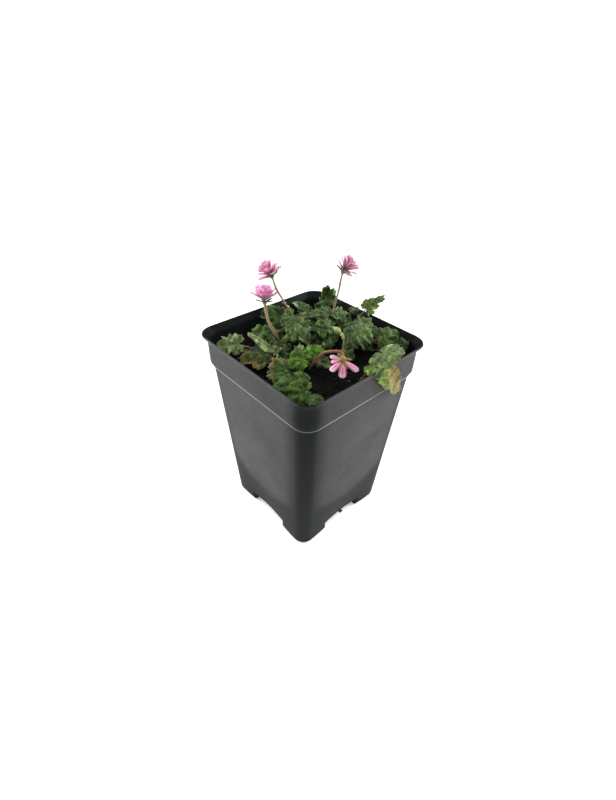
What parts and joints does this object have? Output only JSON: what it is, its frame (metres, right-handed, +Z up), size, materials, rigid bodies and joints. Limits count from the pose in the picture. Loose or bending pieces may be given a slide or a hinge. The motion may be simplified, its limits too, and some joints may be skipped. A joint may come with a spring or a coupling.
{
  "type": "potted flowering plant",
  "caption": "Small erodium with crenate grey-green leaves and double pink flowers, in a square tapered black nursery pot.",
  "frame": {"origin": "middle of the pot's base, on the surface that it stands on", "axes": "+Z up; X and Y at right angles to the pot's walls"},
  "size_m": [0.0972, 0.0927, 0.1586],
  "materials": {
    "pot": "black polypropylene, satin, lightly scuffed",
    "soil": "loose dark peat, matte",
    "leaf": "soft, finely hairy, matte",
    "yellowed_leaf": "limp, matte",
    "dried_leaf": "dry and papery",
    "petal": "soft, thin petals",
    "pale_petal": "soft, thin petals with darker veins",
    "stalk": "thin hairy stalk",
    "bud": "hairy green bud"
  },
  "bodies": {
    "root": {"pot": "pot", "soil": "soil", "leafy_stem_left": "leaf", "leafy_stem_far_left": "leaf", "leafy_stem_back": "leaf", "leafy_stem_back_right": "leaf", "leafy_stem_right": "leaf", "leafy_stem_rim": "leaf", "leafy_stem_front_centre": "leaf", "leafy_stem_front_left": "leaf", "leafy_stem_front": "leaf", "leafy_stem_centre": "leaf", "yellowed_leaf": "yellowed_leaf", "dried_leaf": "dried_leaf", "petals_low_left": "petal", "petals_tall_left": "petal", "petals_tall_right": "petal", "petals_nodding": "pale_petal", "stalk_low_left": "stalk", "stalk_tall_left": "stalk", "stalk_tall_right": "stalk", "stalk_nodding": "stalk", "bud": "bud"}
  },
  "joints": []
}
